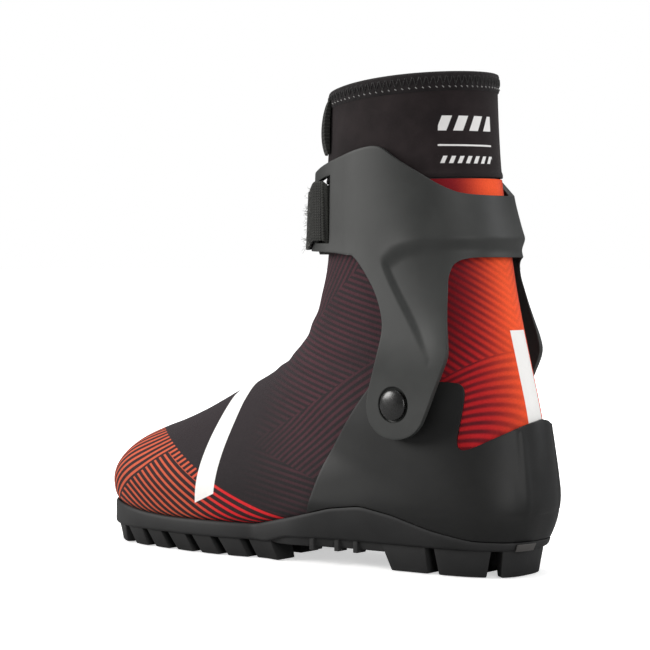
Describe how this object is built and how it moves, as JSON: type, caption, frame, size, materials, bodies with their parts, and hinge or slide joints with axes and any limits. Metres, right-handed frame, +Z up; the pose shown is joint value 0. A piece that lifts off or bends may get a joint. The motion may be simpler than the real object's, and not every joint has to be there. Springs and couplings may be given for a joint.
{
  "type": "cross country ski boot",
  "caption": "Left skate ski boot: printed softshell upper and knit collar in a hinged ankle cuff with a strap, heel cup and lugged sole with binding bars.",
  "frame": {"origin": "centre of the bounding box in plan to within 2 mm, at the tread's lowest face", "axes": "toe towards -X, heel towards +X, outer side of this left boot towards -Y, inner side +Y, +Z up"},
  "size_m": [0.2941, 0.0992, 0.2634],
  "materials": {
    "black_knit": "matt stretch knit",
    "print_fabric": "printed softshell, satin",
    "red_fabric": "printed softshell, satin",
    "lining_knit": "brushed knit",
    "webbing": "woven webbing",
    "hook_tape": "hook tape",
    "grey_nylon": "fine satin moulding",
    "dark_composite": "satin moulding",
    "fibre_plate": "smooth plate",
    "cap_plastic": "gloss",
    "sole_rubber": "matt rubber",
    "steel": "brushed",
    "insole_foam": "felted insole",
    "label_film": "printed film, left blank"
  },
  "bodies": {
    "boot": {"outsole": "sole_rubber", "binding_bar_front": "steel", "binding_bar_rear": "steel", "shank_plate": "fibre_plate", "footbed": "insole_foam", "upper_foot": "print_fabric", "lining_foot": "lining_knit", "heel_cup": "dark_composite", "heel_label": "label_film", "pivot_post_outer": "steel", "pivot_post_inner": "steel", "pivot_washer_outer": "sole_rubber", "pivot_washer_inner": "sole_rubber", "pivot_cap_outer": "cap_plastic", "pivot_cap_inner": "cap_plastic"},
    "ankle_cuff": {"cuff": "grey_nylon", "upper_shaft": "red_fabric", "lining_shaft": "lining_knit", "collar": "black_knit", "collar_binding": "black_knit", "strap_under": "webbing", "strap_rivet": "steel", "zip_tape": "webbing", "zip_coil": "grey_nylon", "pull_loop": "webbing"},
    "strap_flap_body": {"strap_flap": "webbing", "hook_patch": "hook_tape"},
    "zip_slider_body": {"zip_slider": "steel"},
    "zip_puller_body": {"zip_puller": "steel"}
  },
  "joints": [
    {"name": "cuff_flex", "type": "hinge", "parent": "boot", "child": "ankle_cuff", "pos_m": [0.0826, 0, 0.0893], "axis": [0, -1, 0], "range_deg": [-5, 16]},
    {"name": "strap_open", "type": "hinge", "parent": "ankle_cuff", "child": "strap_flap_body", "pos_m": [0.0107, -0.02453, 0.191], "axis": [0, 0, 1], "range_deg": [0, 110]},
    {"name": "zip_run", "type": "slide", "parent": "ankle_cuff", "child": "zip_slider_body", "axis": [-0.0539, 0, -0.9985], "range_m": [0, 0.021]},
    {"name": "puller_swing", "type": "hinge", "parent": "zip_slider_body", "child": "zip_puller_body", "pos_m": [0.00835, 0, 0.24378], "axis": [0, 1, 0], "range_deg": [0, 120]}
  ]
}
